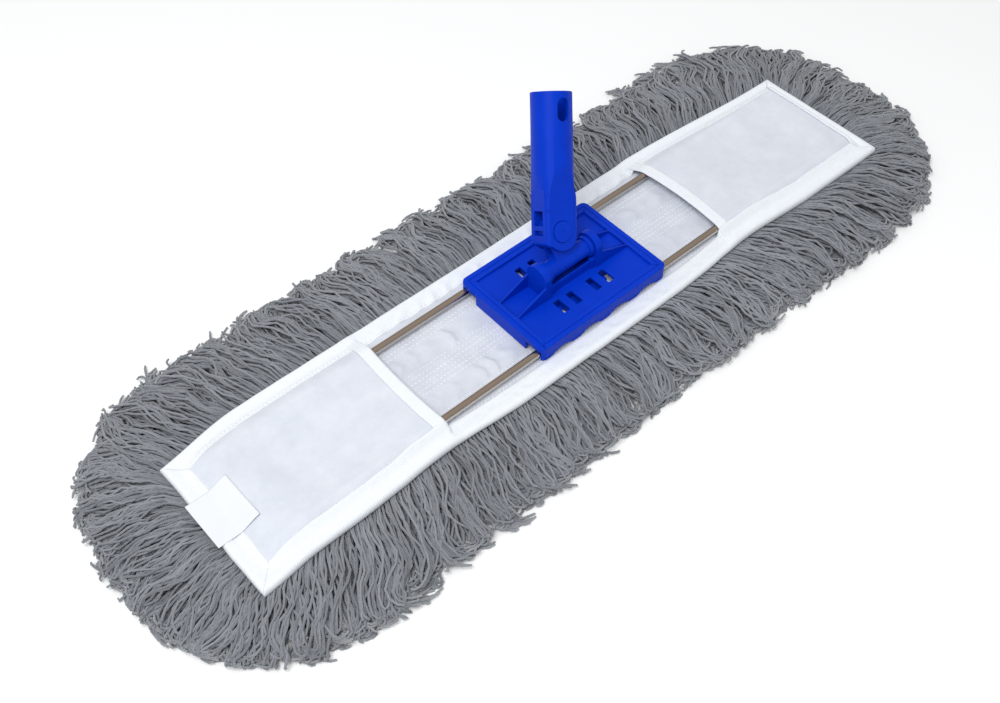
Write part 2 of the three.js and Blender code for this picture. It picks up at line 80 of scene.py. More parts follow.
def add_node(material, kind, inputs=(), **settings):
    """Adds a shader node, sets its options, and sets or links its inputs."""
    tree = material.node_tree
    made = tree.nodes.new("ShaderNode" + kind)
    for key, value in settings.items():
        setattr(made, key, value)
    for key, value in dict(inputs).items():
        if isinstance(value, bpy.types.NodeSocket):
            tree.links.new(value, made.inputs[key])
        else:
            made.inputs[key].default_value = value
    return made


def new_material(name):
    """A material with no nodes in it yet."""
    material = bpy.data.materials.new(name)
    material.use_nodes = True
    material.node_tree.nodes.clear()
    return material


def finish_material(material, shader):
    """Joins a shader node to a new material output."""
    add_node(material, "OutputMaterial", {"Surface": shader.outputs[0]})


def wave_scale(pitch):
    """The Wave texture's scale for bands that repeat every pitch metres."""
    return math.pi / 10 / pitch


def woven_cloth(name, colour, shade, pitch, relief, sheen):
    """White cloth woven of two crossed sets of thread. The weave gives a fine matt grain, the
    bleach a faint cloudiness about 20 mm across, and the fibre ends a soft sheen. Real
    threads are too fine to show from here; pitch draws them about three times as coarse."""
    material = new_material(name)
    place = add_node(material, "TexCoord").outputs["Object"]
    warp = add_node(material, "TexWave", {"Vector": place, "Scale": wave_scale(pitch),
                                          "Distortion": 1.2, "Detail Scale": 2.0},
                    bands_direction="X")
    weft = add_node(material, "TexWave", {"Vector": place, "Scale": wave_scale(pitch),
                                          "Distortion": 1.2, "Detail Scale": 2.0},
                    bands_direction="Y")
    weave = add_node(material, "Math", {0: warp.outputs["Fac"], 1: weft.outputs["Fac"]},
                     operation="MULTIPLY")
    cloudy = add_node(material, "TexNoise", {"Vector": place, "Scale": 50, "Detail": 6,
                                             "Roughness": 0.7})
    tone = add_node(material, "Math", {0: weave.outputs[0], 1: 0.3, 2: cloudy.outputs["Fac"]},
                    operation="MULTIPLY_ADD", use_clamp=True)
    paint = add_node(material, "MixRGB", {"Fac": tone.outputs[0], "Color1": srgb(shade),
                                          "Color2": srgb(colour)})
    bump = add_node(material, "Bump", {"Height": weave.outputs[0], "Distance": relief,
                                       "Strength": 0.5})
    shader = add_node(material, "BsdfPrincipled", {
        "Base Color": paint.outputs[0], "Normal": bump.outputs[0],
        "Roughness": 0.88, "Sheen Weight": sheen,
    })
    finish_material(material, shader)
    return material


def alone(piece):
    """Leaves only this piece selected, and active."""
    bpy.ops.object.select_all(action="DESELECT")
    piece.select_set(True)
    bpy.context.view_layer.objects.active = piece


def apply_modifier(piece, kind, **settings):
    """Adds a modifier with these settings and applies it."""
    alone(piece)
    modifier = piece.modifiers.new(kind.lower(), kind)
    for key, value in settings.items():
        setattr(modifier, key, value)
    bpy.ops.object.modifier_apply(modifier=modifier.name)


def cloth_grid(name, columns, rows, place, thickness, material):
    """A sheet of cloth: a flat grid whose points place(u, v) sets, u and v from 0 to 1, then
    given its thickness downwards and shaded smooth."""
    bpy.ops.mesh.primitive_grid_add(x_subdivisions=columns, y_subdivisions=rows, size=1)
    piece = bpy.context.object
    piece.name = name
    for vertex in piece.data.vertices:
        vertex.co = place(vertex.co.x + 0.5, vertex.co.y + 0.5)
    piece.data.materials.append(material)
    apply_modifier(piece, "SOLIDIFY", thickness=thickness, offset=-1)
    bpy.ops.object.shade_smooth()
    return piece


def lerp(a, b, share):
    return a + (b - a) * share


def ease(low, high, value):
    """Rises smoothly from 0 at low to 1 at high."""
    share = min(1.0, max(0.0, (value - low) / (high - low)))
    return share * share * (3 - 2 * share)


backing_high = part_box("backing")[1]
COVER_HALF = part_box("binding_back")[1].y
BAND_PITCH = 40.6 * MM
BAND_MIDDLE = 2.4 * MM
BAND_HALF = 10.2 * MM
STITCH_ROWS = 6
ROW_PITCH = 2 * BAND_HALF / (STITCH_ROWS - 1)
STITCH_PITCH = 3.4 * MM
PUCKER_PITCH = 17 * MM
BACKING_FACE = backing_high.z - 0.6 * MM
BACKING_THICK = 2.2 * MM


def cover_edge(side_y, x):
    """Where the cover's long edge runs, as a distance in y. In front the cloth is drawn in by
    up to 6 mm where the pocket mouths are sewn, and stands out a little at its left end.
    Behind, it bellies out by up to 11 mm."""
    if side_y > 0:
        belly = 10.8 * ease(-324 * MM, -244 * MM, x) * (1 - 0.9 * ease(140 * MM, 312 * MM, x))
        return COVER_HALF + belly * MM
    drawn_in = 1.5 + 4.5 * math.exp(-((abs(x) - 155 * MM) / (50 * MM)) ** 2)
    drawn_in -= 4 * ease(265 * MM, 312 * MM, -x)
    return COVER_HALF - drawn_in * MM


def band_offset(y):
    """How far y is from the middle of the nearest quilted band."""
    return (y - BAND_MIDDLE + BAND_PITCH / 2) % BAND_PITCH - BAND_PITCH / 2


def backing_height(x, y):
    """The face of the backing: quilted bands that pillow up between their stitches, and
    loose cloth between the bands that lies in puckers, slanting in from both seams."""
    off = band_offset(y)
    loose = ease(BAND_HALF - 0.5 * MM, BAND_HALF + 4 * MM, abs(off))
    pillow = abs(math.cos(math.pi * off / ROW_PITCH)) * abs(math.cos(math.pi * x / STITCH_PITCH))
    shift = 12 * MM * noise.noise(Vector((x * 36, y * 22, 5)))
    row = math.floor((y - BAND_MIDDLE) / BAND_PITCH) * 0.37
    crease = (x + shift + 0.55 * (BAND_PITCH / 2 - abs(off))) / PUCKER_PITCH + row
    fold = (0.5 + 0.5 * math.cos(2 * math.pi * crease)) ** 1.8
    fold *= 0.9 + 1.2 * noise.noise(Vector((crease * 0.9, row * 9, 2)))
    slack = noise.noise(Vector((x * 34, y * 34, 9)))
    return MM * ((0.2 + 0.42 * pillow) * (1 - loose) + loose * (1.3 * fold - 0.4)
                 + (0.25 + 0.6 * loose) * slack)


backing_cloth = woven_cloth(
    "bleached cotton twill", 0xE0E4EC, 0xB6BAC6, pitch=1.5 * MM, relief=0.07 * MM, sheen=0.25,
)


def place_backing(u, v):
    """Columns stand closer together in the middle, the stretch that the pockets leave open."""
    toward = 2 * u - 1
    x = backing_high.x * (0.62 * toward + 0.38 * toward ** 3)
    tuck = 2.5 * MM
    y = lerp(tuck - cover_edge(-1, x), cover_edge(1, x) - tuck, v)
    return Vector((x, y, BACKING_FACE + backing_height(x, y)))


backing = cloth_grid("backing_cloth", 400, 115, place_backing, BACKING_THICK, backing_cloth)
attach(backing, "mop")
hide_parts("backing")

# ---- Seams of the backing
# Lockstitched polyester thread, six rows to a quilted band. Each stitch is a short bead of
# thread that sinks at both ends, so a seam reads as a dotted line; the inner rows slant.
STITCH_LENGTH = 3.0 * MM
THREAD_RADIUS = 0.32 * MM
THREAD_LIFT = 0.16 * MM

# Spun thread is fuzzy and whiter than the cloth, so a seam reads as soft pale dots.
thread = new_material("spun polyester sewing thread")
thread_shader = add_node(thread, "BsdfPrincipled", {
    "Base Color": srgb(0xF3F5F8), "Roughness": 0.6, "Sheen Weight": 0.4,
})
finish_material(thread, thread_shader)


def seam(name, points, material):
    """A row of stitches, one at each (place, direction) of points, joined as one piece."""
    bpy.ops.mesh.primitive_uv_sphere_add(segments=6, ring_count=4, radius=1)
    stitch = bpy.context.object
    outline = [v.co.copy() for v in stitch.data.vertices]
    faces = [tuple(f.vertices) for f in stitch.data.polygons]
    bpy.data.objects.remove(stitch)
    corners = []
    loops = []
    for place, along in points:
        turn = along.to_track_quat("X", "Z")
        first = len(corners)
        for corner in outline:
            scaled = Vector((corner.x * STITCH_LENGTH / 2, corner.y * THREAD_RADIUS,
                             corner.z * THREAD_RADIUS))
            corners.append(place + turn @ scaled)
        loops.extend(tuple(first + i for i in face) for face in faces)
    mesh = bpy.data.meshes.new(name)
    mesh.from_pydata(corners, [], loops)
    mesh.materials.append(material)
    piece = bpy.data.objects.new(name, mesh)
    bpy.context.collection.objects.link(piece)
    alone(piece)
    bpy.ops.object.shade_smooth()
    return piece


seam_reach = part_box("pocket_hem_right")[0].x + 4 * MM
stitches = []
for band in (-1, 0, 1):
    for row in range(STITCH_ROWS):
        y = BAND_MIDDLE + band * BAND_PITCH - BAND_HALF + row * ROW_PITCH
        if abs(y) > COVER_HALF - 12 * MM:
            continue
        outer = row in (0, STITCH_ROWS - 1)
        along = Vector((1, 0 if outer else 0.55 * (-1) ** row, 0))
        for step in range(int(2 * seam_reach / STITCH_PITCH)):
            x = (step + 0.5 - int(seam_reach / STITCH_PITCH)) * STITCH_PITCH
            z = BACKING_FACE + backing_height(x, y) + THREAD_LIFT
            stitches.append((Vector((x, y, z)), along))
backing_seams = seam("backing_seams", stitches, thread)
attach(backing_seams, "mop")

# ---- Wire frame
# One length of 6 mm drawn steel wire, bent into a long loop whose ends meet under the plate.
# Drawing leaves fine bright lines along it; its top is painted brown, as a painted reflection.
WIRE_BEND = 22 * MM
STREAKS_ALONG = 6
STREAKS_ROUND = 15
# The wire's top is painted brown as a painted reflection: it starts this far below the top and is
# full this far below it.
REFLECTION_STARTS = 1.7 * MM
REFLECTION_FULL = 1.1 * MM
wire_low, wire_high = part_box("wire_frame")
wire_radius = (wire_high.z - wire_low.z) / 2
wire_z = (wire_high.z + wire_low.z) / 2
wire_left, wire_right = wire_low.x + wire_radius, wire_high.x - wire_radius
wire_front, wire_back = wire_low.y + wire_radius, wire_high.y - wire_radius
wire_gap = 0.15 * MM

steel = new_material("bright drawn steel wire")
steel_uv = add_node(steel, "TexCoord").outputs["UV"]
# Six streaks lie along the loop's 1.3 m and fifteen round its 19 mm, so each is about 1.3 mm
# wide. Real draw lines are much finer; these are drawn coarser, so that they show.
draw_lines = add_node(steel, "Mapping", {"Vector": steel_uv,
                                         "Scale": (STREAKS_ALONG, STREAKS_ROUND, 1)})
streaks = add_node(steel, "TexNoise", {"Vector": draw_lines.outputs[0], "Scale": 1.0,
                                       "Detail": 5})
steel_paint = add_node(steel, "MixRGB", {"Fac": streaks.outputs["Fac"],
                                         "Color1": srgb(0x8A8178), "Color2": srgb(0xEDEAE4)})
wire_place = add_node(steel, "SeparateXYZ", {
    0: add_node(steel, "TexCoord").outputs["Object"],
})
# Painted reflection: the top of the wire is painted warm brown, the reflection that its upper side
# shows.
painted_reflection_top = add_node(steel, "MapRange", {0: wire_place.outputs["Z"],
                                         1: wire_high.z - REFLECTION_STARTS,
                                         2: wire_high.z - REFLECTION_FULL})
steel_face = add_node(steel, "MixRGB", {"Fac": painted_reflection_top.outputs[0],
                                        "Color1": steel_paint.outputs[0],
                                        "Color2": srgb(0xA39182)})
steel_rough = add_node(steel, "MapRange", {0: streaks.outputs["Fac"], 3: 0.14, 4: 0.28})
steel_bump = add_node(steel, "Bump", {"Height": streaks.outputs["Fac"], "Strength": 0.12,
                                      "Distance": 0.05 * MM})
steel_shader = add_node(steel, "BsdfPrincipled", {
    "Base Color": steel_face.outputs[0], "Roughness": steel_rough.outputs[0],
    "Normal": steel_bump.outputs[0], "Metallic": 1.0,
})
finish_material(steel, steel_shader)

wire_middle = (wire_left + wire_right) / 2
wire_route = [Vector((wire_middle + wire_gap, wire_front, wire_z))]
wire_bends = [(wire_right, wire_front, -90), (wire_right, wire_back, 0),
              (wire_left, wire_back, 90), (wire_left, wire_front, 180)]
for corner_x, corner_y, start_angle in wire_bends:
    centre_x = corner_x - math.copysign(WIRE_BEND, corner_x)
    centre_y = corner_y - math.copysign(WIRE_BEND, corner_y)
    for step in range(13):
        angle = math.radians(start_angle + step * 7.5)
        wire_route.append(Vector((centre_x + WIRE_BEND * math.cos(angle),
                                  centre_y + WIRE_BEND * math.sin(angle), wire_z)))
wire_route.append(Vector((wire_middle - wire_gap, wire_front, wire_z)))
wire_curve = bpy.data.curves.new("wire_loop", "CURVE")
wire_curve.dimensions = "3D"
wire_curve.bevel_depth = wire_radius
wire_curve.bevel_resolution = 8
wire_curve.use_fill_caps = True
wire_spline = wire_curve.splines.new("POLY")
wire_spline.points.add(len(wire_route) - 1)
for point, place in zip(wire_spline.points, wire_route):
    point.co = (*place, 1)
wire = bpy.data.objects.new("wire_loop", wire_curve)
bpy.context.collection.objects.link(wire)
alone(wire)
bpy.ops.object.convert(target="MESH")
bpy.ops.object.shade_smooth_by_angle(angle=math.radians(40))
wire.data.materials.clear()
wire.data.materials.append(steel)
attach(wire, "mop")
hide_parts("wire_frame")

# ---- Pockets
# A flap of fine white poplin over each end of the cover, sewn down on three sides. The wire
# frame is slipped in from the middle, so the cloth stands on the wires and sags between.
POCKET_THICK = 0.8 * MM
CLOTH_LIFT = 0.9 * MM
# Finer and flatter than the backing, so it shows hardly any grain, and looks a little blue.
poplin = woven_cloth("bleached polycotton poplin", 0xE2E6EE, 0xC2C7D1, pitch=1.1 * MM,
                     relief=0.06 * MM, sheen=0.2)
wire_top = wire_high.z
SEWN_Z = BACKING_FACE + 1.4 * MM
SEWN_IN = 5.5 * MM
POCKETS = {"left": -1, "right": 1}
# At each mouth: how far the cloth sags between the wires, how far it bows away from the
# plate in the middle, and how far it has been pulled towards the plate along the wires.
MOUTH_SAG = {-1: 1.0 * MM, 1: -0.4 * MM}
MOUTH_BOW = {-1: 1.5 * MM, 1: 3.0 * MM}
MOUTH_PULLED = {-1: 0.0, 1: 6 * MM}
mouths, closed_ends, frame_ends = {}, {}, {}
for side, sign in POCKETS.items():
    flap_low, flap_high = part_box("pocket_" + side)
    mouth_low, mouth_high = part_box("pocket_hem_" + side)
    mouths[sign] = min(abs(mouth_low.x), abs(mouth_high.x)) - MOUTH_PULLED[sign]
    closed_ends[sign] = max(abs(flap_low.x), abs(flap_high.x)) + 1.5 * MM
    frame_ends[sign] = wire_high.x if sign > 0 else -wire_low.x


def over_wires(x, y, sag):
    """The height of cloth laid across both wires and sewn down beyond them."""
    if y > wire_back or y < wire_front:
        inner = wire_back if y > 0 else wire_front
        outer = cover_edge(math.copysign(1, y), x) - SEWN_IN
        share = (abs(y) - abs(inner)) / (outer - abs(inner))
        return lerp(wire_top + CLOTH_LIFT, SEWN_Z, ease(0.0, 1.05, share))
    across = (y - wire_front) / (wire_back - wire_front)
    hang = (1 - (2 * across - 1) ** 2) ** 0.8
    return wire_top + CLOTH_LIFT - sag * hang


def pocket_height(x, y):
    """The pocket cloth's height: over the wires, sinking to the seam at the closed end past
    the frame, with slack that lies in soft folds."""
    sign = 1 if x > 0 else -1
    mouth, end, frame_end = mouths[sign], closed_ends[sign], frame_ends[sign]
    inward = (abs(x) - mouth) / (end - mouth)
    sag = lerp(MOUTH_SAG[sign], 3.6 * MM, ease(0.08, 0.45, inward))
    sag *= 1 - ease(frame_end - 32 * MM, frame_end - 8 * MM, abs(x))
    past = ease(min(frame_end, end - 5 * MM), end + 1 * MM, abs(x))
    z = lerp(over_wires(x, y, sag), SEWN_Z, past)
    free = 1 - ease(0.5, 0.72, abs(y) / COVER_HALF)
    free *= 1 - ease(frame_end - 30 * MM, frame_end - 8 * MM, abs(x))
    slack = noise.noise(Vector((x * 17, y * 24, 2.5))) * 1.2
    crease = noise.noise(Vector(((x + 0.8 * y) * 38, (y - 0.3 * x) * 11, 7))) * 0.6
    z += MM * (slack + crease) * free * ease(0.08, 0.25, inward) * (1 - past)
    return max(z, SEWN_Z)


def mouth_line(sign, y):
    """How far the mouth's middle bows away from the plate, less and less to its two ends."""
    across = min(1.0, abs(y - 4 * MM) / (46 * MM))
    return MOUTH_BOW[sign] * (1 - across * across)


for side, sign in POCKETS.items():
    def place_flap(u, v):
        along = u if sign > 0 else 1 - u
        x = sign * lerp(mouths[sign], closed_ends[sign], along)
        y = lerp(SEWN_IN - cover_edge(-1, x), cover_edge(1, x) - SEWN_IN, v)
        x = sign * lerp(mouths[sign] + mouth_line(sign, y) + 1 * MM, closed_ends[sign], along)
        return Vector((x, y, pocket_height(x, y)))

    flap = cloth_grid("pocket_cloth_" + side, 110, 100, place_flap, POCKET_THICK, poplin)
    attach(flap, "mop")
    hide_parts("pocket_" + side)

# ---- Pocket hems
# White ribbed tape folded round each pocket's mouth and sewn through, so that the wires
# don't fray the cloth. It rides up over both wires with the flap.
TAPE_RIB = 1.6 * MM
HEM_FOLD = 0.85 * MM
HEM_THICK = 0.4 * MM


def ribbed_tape(name, across):
    """Grosgrain tape: ribs across its width catch the light as fine lines on bright white,
    and the yarn is mottled about 4 mm across. Real ribs are finer than TAPE_RIB; they are
    drawn coarser, so that they show."""
    material = new_material(name)
    place = add_node(material, "TexCoord").outputs["Object"]
    ribs = add_node(material, "TexWave", {"Vector": place, "Scale": wave_scale(TAPE_RIB),
                                          "Distortion": 1.4, "Detail": 2.0},
                    bands_direction=across)
    cloudy = add_node(material, "TexNoise", {"Vector": place, "Scale": 260, "Detail": 3})
    tone = add_node(material, "Math", {0: ribs.outputs["Fac"], 1: cloudy.outputs["Fac"],
                                       2: 0.35},
                    operation="MULTIPLY_ADD", use_clamp=True)
    paint = add_node(material, "MixRGB", {"Fac": tone.outputs[0], "Color1": srgb(0xDADFE6),
                                          "Color2": srgb(0xF2F6FA)})
    bump = add_node(material, "Bump", {"Height": ribs.outputs["Fac"],
                                       "Distance": 0.22 * MM, "Strength": 0.45})
    shader = add_node(material, "BsdfPrincipled", {
        "Base Color": paint.outputs[0], "Normal": bump.outputs[0],
        "Roughness": 0.8, "Sheen Weight": 0.3,
    })
    finish_material(material, shader)
    return material


tape_along_x = ribbed_tape("bleached grosgrain tape", "X")
tape_along_y = ribbed_tape("bleached grosgrain tape, end to end", "Y")


def edge_wave(s, seed):
    """The slow wander of a sewn edge, in metres."""
    return MM * (1.5 * noise.noise(Vector((s * 14, seed, 0)))
                 + 0.5 * noise.noise(Vector((s * 60, seed, 4))))


hem_low, hem_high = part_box("pocket_hem_right")
hem_width = hem_high.x - hem_low.x
for side, sign in POCKETS.items():
    hem_front = SEWN_IN + 1 * MM - cover_edge(-1, sign * mouths[sign])
    hem_back = cover_edge(1, sign * mouths[sign]) - SEWN_IN - 1 * MM
    hem_run = 2 * hem_width + math.pi * HEM_FOLD

    def place_hem(u, v):
        y = lerp(hem_front, hem_back, u)
        travelled = v * hem_run
        if travelled < hem_width:
            back, lift = hem_width - travelled, HEM_FOLD
        elif travelled < hem_run - hem_width:
            angle = (travelled - hem_width) / HEM_FOLD
            back, lift = -HEM_FOLD * math.sin(angle), HEM_FOLD * math.cos(angle)
        else:
            back, lift = travelled - hem_run + hem_width, -HEM_FOLD
        wander = edge_wave(y, 31 + sign) * 0.5 * max(0.0, back) / hem_width
        x = sign * (mouths[sign] + mouth_line(sign, y) + HEM_FOLD + back + wander)
        z = over_wires(x, y, MOUTH_SAG[sign]) - POCKET_THICK / 2
        return Vector((x, y, z + lift))

    hem = cloth_grid("mouth_tape_" + side, 110, 20, place_hem, HEM_THICK, tape_along_y)
    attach(hem, "mop")
    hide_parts("pocket_hem_" + side)

# ---- Binding tape
# The same tape, wider, folded over the raw edges of the backing and the pockets on all four
# sides and sewn down, mitred at the corners. The stitching draws its edges into waves.
TAPE_THICK = 0.7 * MM
TAPE_WIDTH = 13 * MM
# Where the seam runs across the tape, from 0 at its upper inner edge to 1 at its lower one,
# and how many stitches are left out beside each mitred corner.
EDGE_SEAM_AT = 0.075
CORNER_STITCHES = 3
binding_low, binding_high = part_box("binding_front")
edge_x = binding_high.x


def cover_top(x, y):
    """The height of the cloth that the tape is laid on: a pocket, or the backing."""
    if abs(x) > mouths[1 if x > 0 else -1]:
        return pocket_height(x, y)
    return BACKING_FACE + backing_height(x, y)


def place_binding(side_x, side_y):
    """Wraps the tape round one edge: v runs from its inner edge on top, over the fold, to
    its inner edge below. Points further in sit nearer the middle, which mitres the ends."""
    crown = binding_high.z - TAPE_THICK / 2 + 0.3 * MM
    sole = binding_low.z + TAPE_THICK / 2
    round_half = (crown - sole) / 2
    turned = math.pi * round_half
    run = 2 * TAPE_WIDTH + turned

    def on_tape(u, v):
        travelled = v * run
        if travelled < TAPE_WIDTH:
            inward, z = TAPE_WIDTH - travelled + round_half, crown
        elif travelled < TAPE_WIDTH + turned:
            angle = (travelled - TAPE_WIDTH) / round_half
            inward = round_half * (1 - math.sin(angle))
            z = (crown + sole) / 2 + round_half * math.cos(angle)
        else:
            inward, z = travelled - TAPE_WIDTH - turned + round_half, sole
        seed = 2 * side_x + 5 * side_y
        sewn = inward / (TAPE_WIDTH + round_half)
        toward = lerp(-1, 1, u)
        taper = 1 - abs(toward) ** 12
        at_end = side_x * (edge_x - inward)
        if side_y:
            s = toward * (edge_x - inward)
        else:
            s = lerp(inward - cover_edge(-1, at_end), cover_edge(1, at_end) - inward, u)
        waved = inward + (edge_wave(s, seed + 9) * 1.5 * sewn
                          - edge_wave(s, seed) * 0.5 * (1 - sewn)) * taper
        if side_y:
            spot = Vector((s, side_y * (cover_edge(side_y, s) - waved), z))
        else:
            spot = Vector((side_x * (edge_x - waved), s, z))
        beside_pocket = ease(-6 * MM, 8 * MM, abs(spot.x) - mouths[1 if spot.x > 0 else -1])
        spot.z += 1.6 * MM * beside_pocket * ease(sole, crown, z)
        if travelled < TAPE_WIDTH:
            bed = cover_top(spot.x, spot.y) + 0.5 * TAPE_THICK
            spot.z = lerp(spot.z, bed, ease(0.12, 0.8, sewn))
            spot.z += 0.5 * MM * noise.noise(Vector((s * 85, seed, inward * 40))) * (1 - sewn)
        return spot

    return on_tape


edge_stitches = []
SIDES = {"front": (0, -1), "back": (0, 1), "left": (-1, 0), "right": (1, 0)}
for side, (side_x, side_y) in SIDES.items():
    columns = 420 if side_y else 90
    tape = tape_along_x if side_y else tape_along_y
    wrap_tape = place_binding(side_x, side_y)
    binding = cloth_grid("edge_tape_" + side, columns, 24, wrap_tape, TAPE_THICK, tape)
    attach(binding, "mop")
    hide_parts("binding_" + side)
    stitch_count = round(2 * (edge_x if side_y else COVER_HALF) / STITCH_PITCH)
    for step in range(CORNER_STITCHES, stitch_count - CORNER_STITCHES):
        here, ahead = (wrap_tape((step + more) / stitch_count, EDGE_SEAM_AT) for more in (0, 1))
        edge_stitches.append((here + Vector((0, 0, 0.1 * MM)), ahead - here))
edge_seams = seam("edge_seams", edge_stitches, thread)
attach(edge_seams, "mop")

# ---- Care label
# A white satin tag caught in the end binding of the left pocket. Its free edge lifts off
# the cloth a little. It is left blank.
label_low, label_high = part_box("care_label")
# The tag lies this much further to the front than in the design. Its upper face is at least
# this high over the cloth under it, and over the top of the design's edge tape.
LABEL_SLIP = 5 * MM
LABEL_OVER_CLOTH = 0.9 * MM
LABEL_OVER_TAPE = 1.9 * MM
LABEL_THICK = 0.35 * MM
SATIN_FLOAT = 0.7 * MM

# Satin's long floats give a smooth, softly stretched gleam. Real floats are much finer than
# SATIN_FLOAT; they are drawn coarser, so that they show.
satin = new_material("white satin label ribbon")
satin_place = add_node(satin, "TexCoord").outputs["Object"]
satin_float = add_node(satin, "TexWave", {"Vector": satin_place,
                                             "Scale": wave_scale(SATIN_FLOAT)},
                       bands_direction="Y")
satin_bump = add_node(satin, "Bump", {"Height": satin_float.outputs["Fac"], "Strength": 0.25,
                                      "Distance": 0.05 * MM})
satin_shader = add_node(satin, "BsdfPrincipled", {
    "Base Color": srgb(0xE4E7EC), "Normal": satin_bump.outputs[0], "Roughness": 0.42,
    "Anisotropic": 0.4,
})
finish_material(satin, satin_shader)


def place_label(u, v):
    x = lerp(label_low.x, label_high.x, u)
    y = lerp(label_low.y, label_high.y, v) - LABEL_SLIP
    bed = max(cover_top(x, y) + LABEL_OVER_CLOTH, binding_high.z + LABEL_OVER_TAPE)
    curl = 0.3 * ease(0.5, 1.0, u) + 0.9 * ease(0.45, 1.0, u) * ease(0.4, 1.0, 1 - v)
    return Vector((x, y, bed + curl * MM))


label = cloth_grid("care_tag", 40, 50, place_label, LABEL_THICK, satin)
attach(label, "mop")
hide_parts("care_label")

# ---- Yarn
# Open-end cotton yarn dyed blue-grey, plied from four strands. The plies show as slanted
# ribs, every yarn took the dye a little differently, and cut ends dry out paler.
YARN_RADIUS = 0.9 * MM
YARN_PLIES = 4
YARN_TURNS = 20
YARN_STEPS = 12

yarn_cotton = new_material("plied cotton yarn, dyed grey")
yarn_place = add_node(yarn_cotton, "TexCoord")
yarn_uv = add_node(yarn_cotton, "SeparateXYZ", {0: yarn_place.outputs["UV"]})
island = add_node(yarn_cotton, "NewGeometry").outputs["Random Per Island"]
wound = add_node(yarn_cotton, "Math", {0: yarn_uv.outputs["X"], 1: YARN_TURNS},
                 operation="MULTIPLY")
around = add_node(yarn_cotton, "Math", {0: yarn_uv.outputs["Y"], 1: YARN_PLIES,
                                        2: wound.outputs[0]}, operation="MULTIPLY_ADD")
ply_turn = add_node(yarn_cotton, "Math", {0: around.outputs[0], 1: 2 * math.pi},
                    operation="MULTIPLY")
ply = add_node(yarn_cotton, "Math", {0: ply_turn.outputs[0]}, operation="SINE")
dye = add_node(yarn_cotton, "TexNoise", {"Vector": yarn_place.outputs["Object"],
                                         "Scale": 22, "Detail": 5})
dye_tone = add_node(yarn_cotton, "Math", {0: dye.outputs["Fac"], 1: 0.9,
                                          2: island}, operation="MULTIPLY_ADD")
ply_tone = add_node(yarn_cotton, "Math", {0: ply.outputs[0], 1: 0.16,
                                          2: dye_tone.outputs[0]}, operation="MULTIPLY_ADD")
yarn_mix = add_node(yarn_cotton, "MapRange", {0: ply_tone.outputs[0], 1: 0.1, 2: 1.7})
yarn_paint = add_node(yarn_cotton, "MixRGB", {"Fac": yarn_mix.outputs[0],
                                              "Color1": srgb(0x5F636A),
                                              "Color2": srgb(0x92969D)})
cut_end = add_node(yarn_cotton, "MapRange", {0: yarn_uv.outputs["X"], 1: 0.86, 2: 1.0,
                                             3: 0.0, 4: 0.55})
yarn_faded = add_node(yarn_cotton, "MixRGB", {"Fac": cut_end.outputs[0],
                                              "Color1": yarn_paint.outputs[0],
                                              "Color2": srgb(0xA9ABAC)})
yarn_bump = add_node(yarn_cotton, "Bump", {"Height": ply.outputs[0], "Strength": 0.55,
                                           "Distance": 0.25 * MM})
yarn_shader = add_node(yarn_cotton, "BsdfPrincipled", {
    "Base Color": yarn_faded.outputs[0], "Normal": yarn_bump.outputs[0],
    "Roughness": 0.92, "Sheen Weight": 0.35, "Sheen Roughness": 0.6,
})
finish_material(yarn_cotton, yarn_shader)


def lay_yarns(name, routes):
    """Lays one yarn along each route, a list of points that each have a thickness."""
    curve = bpy.data.curves.new(name, "CURVE")
    curve.dimensions = "3D"
    curve.bevel_depth = YARN_RADIUS
    curve.bevel_resolution = 1
    curve.use_fill_caps = True
    for route in routes:
        spline = curve.splines.new("POLY")
        spline.points.add(len(route) - 1)
        for point, (place, thickness) in zip(spline.points, route):
            point.co = (*place, 1)
            point.radius = thickness
    piece = bpy.data.objects.new(name, curve)
    bpy.context.collection.objects.link(piece)
    alone(piece)
    bpy.ops.object.convert(target="MESH")
    bpy.ops.object.shade_smooth()
    piece.data.materials.clear()
    piece.data.materials.append(yarn_cotton)
    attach(piece, "mop")
    return piece

# ---- Pile
# Rows of yarn sewn through the backing along its quilted bands. Each length is caught in
# the middle, and its two ends arch out and down to the floor under the cloth.
PILE_STEP = 2.6 * MM
PILE_LAYERS = 2
pile_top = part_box("pile_row_1")[1].z
pile_nodes = sorted(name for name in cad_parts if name.startswith("pile_row_"))
pile_random = random.Random(11)
for row, pile_node in enumerate(pile_nodes):
    pile_low, pile_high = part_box(pile_node)
    middle = BAND_MIDDLE + (row - (len(pile_nodes) - 1) / 2) * BAND_PITCH
    routes = []
    for step in range(int((pile_high.x - pile_low.x) / PILE_STEP)):
        for layer in range(PILE_LAYERS):
            for out in (-1, 1):
                x = pile_low.x + (step + pile_random.random()) * PILE_STEP
                spread = lerp(11, 17, pile_random.random()) * MM
                drift = pile_random.uniform(-5, 5) * MM
                lift = pile_top - (1 + 4 * layer) * MM
                route = []
                for i in range(7):
                    t = i / 6
                    y = middle + out * (2 * MM + spread * t)
                    z = lerp(lift, 1.2 * MM, ease(0.1, 0.9, t)) + 1.5 * MM * math.sin(math.pi * t)
                    y = min(max(y, 3 * MM - COVER_HALF), COVER_HALF - 3 * MM)
                    place = Vector((x + drift * t * t, y, max(z, 1.2 * YARN_RADIUS)))
                    route.append((place, 1.2))
                routes.append(route)
    pile = lay_yarns("pile_yarn_" + str(row + 1), routes)
    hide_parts(pile_node)

# ---- Fringe
# Cut yarn sewn under the edge of the cover on all four sides. It leaves the tape in close
# parallel rows, puffs up, swirls in locks and drops to the floor, where its ends curl over.
FRINGE_LAYERS = 6
YARNS_PER_LAYER = {"front": 310, "back": 310, "left": 145, "right": 145}
FRINGE_REACH = {"front": 125 * MM, "back": 148 * MM, "left": 381 * MM, "right": 388 * MM}
FRINGE_CORNER = 115 * MM
ROOT_INSET = 4 * MM
LOCK_WIDTH = 20 * MM
ROOT_LOW = 2.5 * MM
ROOT_HIGH = binding_low.z - 1.3 * MM


